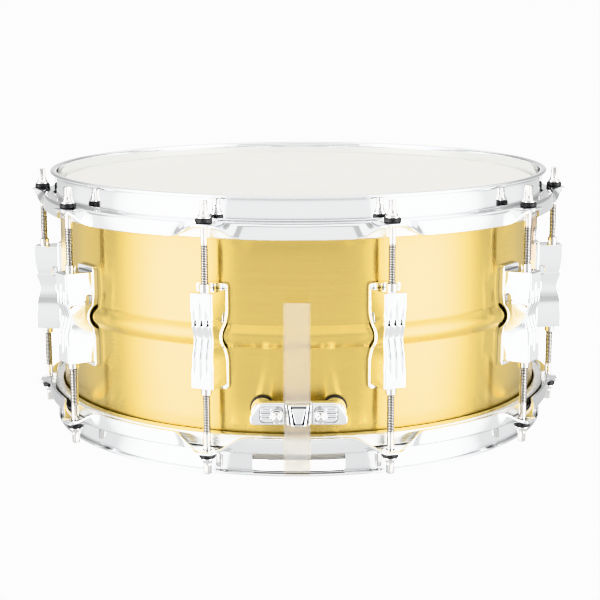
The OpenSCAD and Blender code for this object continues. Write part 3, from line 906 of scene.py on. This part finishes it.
nut_in, nut_flange, nut_end = ROD_R + 0.1, 24.0, 36.0
nut_profile = rounded([
    (nut_in, 16, 0.3), (4.3, 16, 0.4), (4.3, nut_flange, 0.4), (NUT_R, nut_flange, 0.2),
    (NUT_R, nut_end, 0.9), (nut_in, nut_end, 0.3)], 3)
nuts = at_lug_ends(moved(lathe(nut_profile, 40), y=-ROD_CIRCLE))
piece("swivel_nuts", nuts, "root", NICKEL, "lug_nuts")

# ---- screws, and the washers inside the shell ----

WASHER_SEAT = INSIDE_R - 0.1
LUG_SCREW_SEAT = WASHER_SEAT - 0.8
LUG_SCREW_Z = corners("lug_screws")[1].z - 4
hexagon = polygon(6, 1.12)


def diamond(turn):
    """A square that stands on its corner, as a share of its half width."""
    return square(turn + pi / 4)


def hex_screw(seat, reach, at):
    """A hexagon-headed screw inside the shell, with a flange that bears at seat."""
    return join(
        spool([(seat - 3.0, 2.7), (seat - 2.8, 3.1), (seat - 0.8, 3.1)], at, hexagon, 36),
        spool([(seat - 0.9, 3.6), (seat - 0.7, 3.95), (seat - 0.2, 3.95), (seat, 3.8)], at),
        spool([(seat - 0.5, 2.0), (reach, 2.0)], at, None, 16))


def slotted_screw(seat, radius, height, reach, at):
    """A screw with a rounded head and a slot across it, outside its seat."""
    dome = [(seat - 0.05, radius), (seat + 0.4 * height, radius), (seat + 0.8 * height, 0.82 * radius),
            (seat + height, 0.5 * radius)]
    slit = block(3 * radius, 0.7, 0.05, at, seat + 0.45 * height, seat + height + 1, 0.01)
    head = solid_of(cut(spool(dome, at), [slit]))
    return join(head, spool([(seat - reach, 1.5), (seat, 1.5)], at, None, 16))


def solid_of(mesh):
    """A mesh in the drum's frame as a solid in millimetres."""
    return [tuple((v.co - MID) / MM) for v in mesh.vertices], [tuple(f.vertices) for f in mesh.polygons]


lug_screws = at_lug_ends(hex_screw(LUG_SCREW_SEAT, SHELL_R + 7, (0, LUG_SCREW_Z)))
piece("lug_cap_screws", lug_screws, "root", NICKEL, "lug_screws")
lug_washer = rounded([(LUG_SCREW_SEAT, 2.2, 0.1), (LUG_SCREW_SEAT, 5, 0.3), (WASHER_SEAT, 5, 0.3),
                      (WASHER_SEAT, 2.2, 0.1)], 2)
lug_washers = at_lug_ends(collar(lug_washer, (0, LUG_SCREW_Z)))
piece("lug_cap_screw_washers", lug_washers, "root", NICKEL, "lug_screw_washers")

# ---- badge and vent ----


def badge_solid():
    """A thin plate with round corners, bent to the shell."""
    corner, thickness, edge = 4.0, 0.8, 0.25
    low, high = SHELL_R + 0.03, SHELL_R + thickness
    half = BADGE_W / 2
    stops = [-half + corner * (1 - cos(radians(15 * k))) for k in range(7)]
    stops += [-half + corner + (BADGE_W - 2 * corner) * k / 10 for k in range(1, 10)]
    stops += [-u for u in reversed(stops[:7])]
    rings = []
    for u in stops:
        past = max(0, abs(u) - (half - corner))
        v = BADGE_H / 2 - corner + sqrt(max(0, corner ** 2 - past ** 2))
        rim = [(v, low), (v, high - edge), (v - edge, high)]
        rings.append([on_shell(u, z + BADGE_Z, w) for z, w in rim + [(-z, w) for z, w in reversed(rim)]])
    return loft(rings)


def badge_line(margin, width, radius):
    """A fine raised line round the badge, at a margin from its edge."""
    outside = slot_outline(BADGE_W - 2 * margin, BADGE_H - 2 * margin, radius, (0, BADGE_Z))
    low, high = SHELL_R + 0.6, SHELL_R + 0.95
    return loft([[on_shell(*a, low), on_shell(*a, high), on_shell(*b, high), on_shell(*b, low)]
                 for a, b in zip(outside, inset(outside, width))], wrap=True)


piece("badge_plate", cut(badge_solid(), [vent_hole]), "root", BADGE, "badge", turn=BADGE_AZIMUTH)
border = join(badge_line(1.2, 0.8, 3.2), badge_line(3.2, 0.6, 2.0))
piece("badge_border", border, "root", ENAMEL, turn=BADGE_AZIMUTH)
grommet = [(-2.6, 0, 0.3), (-2.6, 2.2, 0.4), (-1.5, 2.2, 0.4), (-1.5, 0.8, 0.1), (0.9, 0.8, 0.1),
           (0.9, 2.4, 0.3), (1.7, 2.2, 0.6), (1.7, 0, 0.5)]
grommet = rounded([(SHELL_R + out, VENT_R + past, radius) for out, past, radius in grommet], 3)
piece("vent_ring", collar(grommet, (0, BADGE_Z)), "root", NICKEL, "vent_grommet", turn=BADGE_AZIMUTH)

# ---- butt plate ----

plate_low, plate_high = corners("butt_base")
PLATE_HALF = plate_high.x
PLATE_OUT = -plate_low.y  # how far out the butt plate's front stands
PLATE_Z = (plate_low.z + plate_high.z) / 2
POST_X = corners("butt_mount_screws")[1].x - 4
POST_R = 7.4
key_low, key_high = corners("butt_clamp_screws")
KEY_X, KEY_Z = key_high.x - 3.6, (key_low.z + key_high.z) / 2
strap_low, strap_high = corners("butt_strap")
STRAP_T = 0.5
STRAP_R = -strap_low.y - STRAP_T / 2  # middle of the strap's thickness, outside the hoop
CLAMP_R = STRAP_R + STRAP_T / 2 + 0.05  # back of the clamps, in front of the strap
PAD_R = STRAP_R - STRAP_T / 2 - 0.05  # front of what the strap lies on


def butt_body():
    """The bar that joins two round posts: a bed for the strap across its middle, a recess in each wing."""
    low, high, side = plate_low.z, plate_high.z, PLATE_HALF
    shoulder = side - 6.4
    outline = rounded([(-side, low, 3.0), (side, low, 3.0), (side, low + 5.6, 4.0), (shoulder, high, 6.0),
                       (-shoulder, high, 6.0), (-side, low + 5.6, 4.0)], 7)
    bed = block(18.2, 24, 0.3, (0, PLATE_Z), PAD_R, PLATE_OUT + 4, 0.01)
    recess = block(15.4, 11.2, 3.4, (17.4, PLATE_Z - 0.5), PLATE_OUT - 1.5, PLATE_OUT + 2, 0.01)
    return cut(slab(outline, PLATE_OUT - 6.5, PLATE_OUT, 1.1), [bed, mirrored(recess), recess])


def butt_posts():
    """Two round posts from the bar's ends back to the shell."""
    stations = [(SHELL_R - 5, POST_R), (PLATE_OUT - 3.2, POST_R), (PLATE_OUT - 2.4, POST_R - 0.3),
                (PLATE_OUT - 2.0, POST_R - 1)]
    return cut(both(spool(stations, (POST_X, PLATE_Z), None, 48)), [shell_seat(SHELL_R + 0.1)])


def butt_ribs():
    """Three ribs in each wing's recess, and a low ring round each clamp screw."""
    ribs = [block(7.2, 1.5, 0.7, (20.9, PLATE_Z - 0.6 + v), PLATE_OUT - 1.7, PLATE_OUT - 0.1, 0.7)
            for v in (-2.75, 0, 2.75)]
    ring = rounded([(PLATE_OUT - 1.3, 3.7, 0), (PLATE_OUT - 1.3, 4.6, 0), (PLATE_OUT - 0.4, 4.5, 0.4),
                    (PLATE_OUT - 0.4, 3.8, 0.3)], 3)
    return both(join(*ribs, collar(ring, (KEY_X, KEY_Z))))


def clamp_solid():
    """The clamp over the strap: a tapered block with a sunken front, two strips and a raised middle."""
    top, low = PLATE_Z + 6.6, PLATE_Z - 7.9
    front = PLATE_OUT + 0.5

    def trapezoid(low_half, low_z, low_r, top_half, top_z, top_r, steps, out, edge):
        outline = rounded([(-low_half, low_z, low_r), (low_half, low_z, low_r), (top_half, top_z, top_r),
                           (-top_half, top_z, top_r)], steps)
        return slab(outline, CLAMP_R, front + out, edge)

    def strips(top_in, low_in, low_out, low_z, out):
        """A pair of raised strips that lean in as they go down."""
        outline = rounded([(low_in, low_z, 0.3), (low_out, low_z, 0.3), (top_in + 1.3, top - 0.2, 0.3),
                           (top_in, top - 0.2, 0.3)], 3)
        return both(slab(outline, CLAMP_R, front + out, 0.5))

    return join(
        trapezoid(7.2, low + 0.5, 0.8, 8.5, top, 1.2, 5, -0.7, 0.4),
        strips(7.0, 5.9, 7.1, low + 0.6, 0.5),
        strips(5.4, 3.3, 4.6, low + 0.2, 1.9),
        trapezoid(6.6, top - 1.9, 0.3, 6.9, top - 0.3, 0.6, 3, 1.2, 0.5),
        trapezoid(4.4, low - 0.1, 0.5, 4.6, low + 1.1, 0.3, 3, 1.6, 0.5),
        trapezoid(2.1, low + 1.2, 0.8, 4.9, top - 2.4, 0.8, 4, 1.3, 0.7))


def key_screw(at):
    """A square-headed screw that stands on a corner, on a round flange."""
    seat = PLATE_OUT - 1.1
    flange = [(seat, 3.3), (seat + 0.2, 3.5), (seat + 1.2, 3.5), (seat + 1.6, 3.1), (seat + 2.0, 2.3)]
    head = [(seat + 1.7, 2.25), (seat + 6.9, 2.25), (seat + 7.5, 1.95), (seat + 7.8, 1.5)]
    shank = [(seat - 8, 2.0), (seat + 1, 2.0)]
    return join(spool(flange, at), spool(head, at, diamond, 40), spool(shank, at, None, 16))


piece("butt_plate_bar", butt_body(), "root", CHROME, "butt_base")
piece("butt_plate_posts", butt_posts(), "root", CHROME)
piece("butt_plate_ribs", butt_ribs(), "root", CHROME)
# A thin black ring round each post where it meets the shell.
post_ring = circle(POST_R + 0.8, 48, (POST_X, PLATE_Z))
post_ring = slab(post_ring, SHELL_R + 0.02, SHELL_R + 1.2, 0.3, on_shell)
piece("butt_plate_post_rings", both(post_ring), "root", NYLON)
piece("butt_plate_clamp", clamp_solid(), "root", CHROME, "butt_clamp")
piece("butt_plate_key_screws", both(key_screw((KEY_X, KEY_Z))), "root", NICKEL, "butt_clamp_screws")
POST_SEAT = sqrt(WASHER_SEAT ** 2 - (POST_X + 4) ** 2) - 0.1
post_screws = both(hex_screw(POST_SEAT, SHELL_R + 5, (POST_X, PLATE_Z)))
piece("butt_plate_cap_screws", post_screws, "root", NICKEL, "butt_mount_screws")

# ---- straps ----

STRAP_HALF = (strap_high.x - strap_low.x) / 2
plates_low, plates_high = corners("snare_end_plates")
STRAP_IN_Z = plates_low.z + 0.5  # height of the strap where it meets the end plate
PLATE_END = plates_high.y - 4.0  # how far out each end plate reaches
clamp_low, clamp_high = corners("strainer_clamp")


def strap_solid(top):
    """A thin strip: down the front of the hoop, and in through its gate to the snares' end plate."""
    path = rounded([(PLATE_END + 0.4, STRAP_IN_Z, 0), (WALL_OUT + 1.5, STRAP_IN_Z - 0.25, 8.0),
                    (STRAP_R, STRAP_IN_Z - 1.1, 1.9), (STRAP_R, top, 0)])
    count = 24
    start = path[-2][1]
    path = path[:-1] + [(STRAP_R, start + (top - start) * k / count) for k in range(1, count + 1)]
    section = slot_outline(2 * STRAP_HALF, STRAP_T, 0.15, steps=2)
    rings = []
    for i, point in enumerate(path):
        a, b = path[max(0, i - 1)], path[min(len(path) - 1, i + 1)]
        away = Vector((b[1] - a[1], a[0] - b[0])).normalized()
        rings.append([(u, -(point[0] + away.x * w), point[1] + away.y * w) for u, w in section])
    return loft(rings)


front_strap = moved(strap_solid(strap_high.z), x=STRAP_SHIFT)
front_strap = piece("butt_strap_strip", front_strap, None, STRAP, "butt_strap")
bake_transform(front_strap)
back_strap = strap_solid(clamp_high.z - 1.0)
back_strap = piece("strainer_strap_strip", back_strap, "root", STRAP, "strainer_strap", turn=180)
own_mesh(back_strap)

# ---- strainer, opposite the butt plate ----

base_low, base_high = corners("strainer_base")
BASE_OUT = base_high.y
pin_low, pin_high = corners("strainer_pivot_pin")
PIVOT_R, PIVOT_Z = (pin_low.y + pin_high.y) / 2, (pin_low.z + pin_high.z) / 2
carriage_low, carriage_high = corners("strainer_carriage")
knob_low, knob_high = corners("tension_knob")
KNOB_R = (knob_low.y + knob_high.y) / 2
CLAMP_Z = (clamp_low.z + clamp_high.z) / 2
THROW_DROP = 5.0  # how far the lever lets the carriage down
CAM_HIGH = 11.0  # the cam's reach when the snares are on


def base_mesh():
    """A plate with round corners on the shell and two rails whose ends are rounded."""
    tall = base_high.z - base_low.z
    middle = (base_low.z + base_high.z) / 2
    rail_in = SHELL_R + 1
    plate = block(30, tall, 4.5, (0, middle), SHELL_R - 3, SHELL_R + 4, 0.8)
    at = ((BASE_OUT + rail_in) / 2, middle)
    rail = block(BASE_OUT - rail_in, tall - 6, 4.0, at, 11.05, 15, 0.6, across)
    return cut(join(plate, both(rail)), [shell_seat(SHELL_R + 0.02)])


def carriage_mesh():
    """Two side bars joined by a top block, with a wide block below that the strap lies on."""
    side, bar_in, bar_out = 10.85, SHELL_R + 6, SHELL_R + 16
    low, high = carriage_low.z, carriage_high.z
    block_low = PIVOT_Z + CAM_HIGH + 0.1
    foot_top = clamp_high.z + 0.5
    at = ((side + 7) / 2, (high + foot_top - 3) / 2)
    bar = block(side - 7, high - foot_top + 3, 0.6, at, bar_in, bar_out, 0.5)
    top = block(2 * side, high - block_low, 1.6, (0, (high + block_low) / 2), bar_in, bar_out + 2, 0.8)
    foot = block(29, foot_top - low, 2.0, (0, (foot_top + low) / 2), SHELL_R + 5, PAD_R, 0.8)
    window = block(4.4, 4.4 + THROW_DROP, 2.0, (PIVOT_R, PIVOT_Z + THROW_DROP / 2), -16, 16, 0.01, across)
    return cut(join(both(bar), top, foot), [window])


def lever_outline():
    """The lever's side view (outward, up): a spiral cam whose arm stands up and leans out at its tip."""
    rate = THROW_DROP / (pi / 2)
    points = []
    for k in range(19):
        turn = radians(5 * k)
        h = CAM_HIGH - rate * turn
        a = pi / 2 + turn
        points.append((PIVOT_R + h * cos(a) + rate * sin(a), PIVOT_Z + h * sin(a) - rate * cos(a)))
    points += arc((PIVOT_R, PIVOT_Z), CAM_HIGH - THROW_DROP, 185, 295, 14)
    arm = [(9, -1.5, 4), (13, 8, 8), (14.6, 34, 30), (17.9, 46, 1.4), (15.6, 47.4, 1.4), (12, 35, 30),
           (10.2, 9, 6), (5, 4, 3), (2.4, 7.5, 1)]
    return points + rounded([(PIVOT_R + u, PIVOT_Z + v, r) for u, v, r in arm], 4)


def lever_mesh():
    """The lever, with a bore for the pin and a thumb pad."""
    bore = slab(circle(2.1, 32, (PIVOT_R, PIVOT_Z)), -8, 8, 0.01, across)
    pad = block(8.6, 15, 3.4, (0, PIVOT_Z + 28), PIVOT_R + 15.2, PIVOT_R + 20, 0.3)
    return cut(slab(lever_outline(), -6.4, 6.4, 0.7, across), [bore, pad])


def knurl(turn):
    """Forty-eight fine ridges round a grip."""
    return 1 - 0.045 * (0.5 + 0.5 * cos(48 * turn)) ** 0.7


def knob_solid():
    """A grip with a straight knurl between two plain bevels, on a stem."""
    low, high = knob_high.z - 8.6, knob_high.z
    at = (0, -KNOB_R)
    ridges = [(low + 1.4, 6.6), (low + 1.8, 7.0), (high - 2.2, 7.0), (high - 1.8, 6.6)]
    cap = [(high - 2.0, 6.5), (high - 0.9, 6.5), (high - 0.3, 6.0), (high - 0.1, 5.2), (high - 0.4, 3.0),
           (high - 0.6, 1.2)]
    stem = [(knob_low.z, 2.2), (knob_low.z + 0.4, 2.5), (low + 0.4, 2.5)]
    foot = [(low, 6.0), (low + 0.6, 6.7), (low + 1.5, 6.8)]
    return join(spindle(foot, at, None, 192), spindle(ridges, at, knurl, 384), spindle(cap, at, None, 96),
                spindle(stem, at))


def pin_solid():
    """The pivot pin, with a rounded head at each end."""
    end = pin_high.x
    stations = [(end - 0.7, 2.0), (end - 0.3, 1.8), (end, 1.2)]
    stations = [(-w, r) for w, r in reversed(stations)] + stations
    return spindle(stations, (PIVOT_R, PIVOT_Z), way=across)


base_screw_low, base_screw_high = corners("strainer_mount_screws")
base_screw_z = (base_screw_low.z + 4, base_screw_high.z - 4)
base_screws = join(*[hex_screw(WASHER_SEAT, SHELL_R + 3.2, (0, z)) for z in base_screw_z])
clamp_front = clamp_high.y
clamp_bar = block(29, clamp_high.z - clamp_low.z, 3.0, (0, CLAMP_Z), CLAMP_R, clamp_front, 0.6)
clamp_ribs = [block(15.0, 1.3, 0.6, (0, CLAMP_Z + v), clamp_front - 0.6, clamp_front + 0.7)
              for v in (-3.0, 0, 3.0)]
clamp_screws = both(slotted_screw(clamp_front, 2.6, 2.3, 6, (12, CLAMP_Z)))
for name, mesh, body, material, node in (
        ("strainer_body", base_mesh(), "root", CHROME, "strainer_base"),
        ("strainer_cap_screws", base_screws, "root", NICKEL, "strainer_mount_screws"),
        ("strainer_pin", pin_solid(), "root", NICKEL, "strainer_pivot_pin"),
        ("strainer_slide", carriage_mesh(), "throw_carriage", CHROME, "strainer_carriage"),
        ("strainer_clamp_bar", join(clamp_bar, *clamp_ribs), "throw_carriage", CHROME, "strainer_clamp"),
        ("strainer_clamp_slotted_screws", clamp_screws, "throw_carriage", NICKEL, "strainer_clamp_screws"),
        ("strainer_arm", lever_mesh(), "throw_lever", CHROME, "strainer_lever"),
        ("fine_tension_knob", knob_solid(), "knob", NICKEL, "tension_knob")):
    piece(name, mesh, body, material, node, turn=180)

# ---- snares ----

wire_low, wire_high = corners("snare_wires")
WIRE_R = (wire_high.z - wire_low.z) / 2
WIRE_Z = (wire_high.z + wire_low.z) / 2
WIRE_END = wire_high.y
WIRE_COUNT = 20


def coil(x):
    """A spiral of fine wire along y."""
    pitch, per_turn, fine = 2.0, 9, 0.28
    steps = int(2 * WIRE_END / pitch * per_turn)
    path = []
    for k in range(steps + 1):
        t = 2 * pi * k / per_turn
        r = WIRE_R - fine
        path.append((x + r * cos(t), -WIRE_END + 2 * WIRE_END * k / steps, WIRE_Z + r * sin(t)))
    return tube(path, fine, 4)


def end_plate():
    """A thin plate with round corners, and the solder line that holds the coils."""
    inside, half = WIRE_END - 3, plates_high.x
    middle = (inside + PLATE_END) / 2
    sheet = block(2 * half, PLATE_END - inside, 2.0, (0, -middle), plates_low.z, plates_high.z, 0.25, upward)
    line = [(half - 1.5 - k * (2 * half - 3) / 40, -(WIRE_END - 1.4), WIRE_Z - 0.35) for k in range(41)]
    return join(sheet, tube(line, 0.7, 10))


spread = wire_high.x - WIRE_R
coils = join(*[coil(-spread + 2 * spread * k / (WIRE_COUNT - 1)) for k in range(WIRE_COUNT)])
piece("snare_coils", mesh_of("snare_coils", coils, 80), "snare_set", SNARE_STEEL, "snare_wires")
plates = join(end_plate(), turned(end_plate(), 180))
piece("snare_plates", plates, "snare_set", PALE, "snare_end_plates")

# ---- studio ----

BACKDROP = 3.0  # brightness of the white that the camera sees
FRONT_LIGHT = 0.92  # brightness that mirrors see in front of the drum
ROOM_LIGHT = 1.15  # brightness that falls on matt surfaces
FLOOR_HALF = 40.0  # half the floor's width in metres


def studio_light(r, direction):
    """How bright mirrors see the studio in a direction: a soft front, a tall white panel at each side that
    starts with a sharp edge, a dimmer rear and horizon, and a lit ceiling."""
    sideways, away, up = r.axes(direction)
    azimuth = r.maths("ABSOLUTE", r.maths("ARCTAN2", sideways, r.maths("MULTIPLY", away, -1.0)))

    def turn(least, most, low, high):
        return r.ease(azimuth, radians(least), radians(most), low, high)

    def rise(least, most, low, high):
        return r.ease(up, sin(radians(least)), sin(radians(most)), low, high)

    panel = r.maths("ADD", turn(32, 33.5, 0.0, 0.8), turn(37, 45, 0.0, 4.6))
    extra = r.maths("ADD", panel, turn(62, 95, 0.0, -5.4))
    back = turn(158, 172, turn(118, 134, 1.0, 0.76), 1.12)
    height = r.ease(r.maths("ABSOLUTE", up), sin(radians(30)), sin(radians(42)), 1.0, 0.0)
    base = rise(66, 78, rise(24, 38, rise(2, 8, FRONT_LIGHT, 0.64), 1.35), 0.6)
    return r.maths("ADD", r.maths("MULTIPLY", base, back), r.maths("MULTIPLY", extra, height))


def studio():
    """A pale floor, lit as the surround is: white to the camera, and in mirrors as bright as the panels,
    with a painted shadow that dims it a little close to the drum."""
    mesh = bpy.data.meshes.new("floor")
    square_corners = [(-1, -1), (1, -1), (1, 1), (-1, 1)]
    mesh.from_pydata([(x * FLOOR_HALF, y * FLOOR_HALF, 0) for x, y in square_corners], [], [(0, 1, 2, 3)])
    r = Recipe("pale_floor")
    shade = r.noise(r.place(), 0.002, 2.0)
    matt = r.shader("BsdfDiffuse", Color=r.blend(shade, (0.91, 0.91, 0.91), (0.93, 0.93, 0.93)))
    ray = r.node("LightPath").outputs
    spot = r.node("NewGeometry").outputs
    onward = r.node("VectorMath", {0: spot["Incoming"], "Scale": -1.0}, operation="SCALE").outputs[0]
    # Painted shadow: mirrors see the floor a little dimmer close to the drum.
    painted_drum_shadow = r.ease(r.reach(spot["Position"]), 0.18, 0.7, 0.95, 1.1)
    glow = r.shader("Emission", Strength=r.maths("MULTIPLY", studio_light(r, onward), painted_drum_shadow))
    white = r.shader("Emission", Strength=BACKDROP)
    mesh.materials.append(r.done(r.mix(ray["Is Camera Ray"], r.mix(ray["Is Glossy Ray"], matt, glow), white)))
    mesh.materials[0].cycles.emission_sampling = "NONE"
    show("floor", mesh)


def surround():
    """White all round to the camera, the studio's lights to mirrors, and even light to matt surfaces."""
    world = bpy.data.worlds.new("studio")
    bpy.context.scene.world = world
    world.use_nodes = True
    r = Recipe("studio", world.node_tree)
    ray = r.node("LightPath").outputs
    mirrors = studio_light(r, r.node("TexCoord").outputs["Generated"])
    light = r.between(ray["Is Diffuse Ray"], mirrors, ROOM_LIGHT)
    strength = r.between(ray["Is Camera Ray"], light, BACKDROP)
    background = r.shader("Background", Color=(1, 1, 1, 1), Strength=strength)
    r.tree.links.new(background, r.node("OutputWorld").inputs["Surface"])
    world.cycles.sampling_method = "NONE"


def camera():
    """The camera in front of the drum, a little above it."""
    target = Vector((1.05, 0, 79.6)) * MM
    elevation, roll = radians(11.571), radians(-0.167)
    distance = 1.0978
    lens = bpy.data.cameras.new("camera")
    lens.lens = 86.98
    lens.sensor_width = 36
    lens.clip_start = 0.01
    view = show("camera", lens)
    back = Vector((0, -cos(elevation), sin(elevation)))
    turn = (-back).to_track_quat("-Z", "Y").to_matrix().to_4x4()
    view.matrix_world = Matrix.Translation(target + back * distance) @ turn @ Matrix.Rotation(roll, 4, "Z")
    bpy.context.scene.camera = view


studio()
surround()
camera()
bpy.context.scene.view_settings.view_transform = "Khronos PBR Neutral"
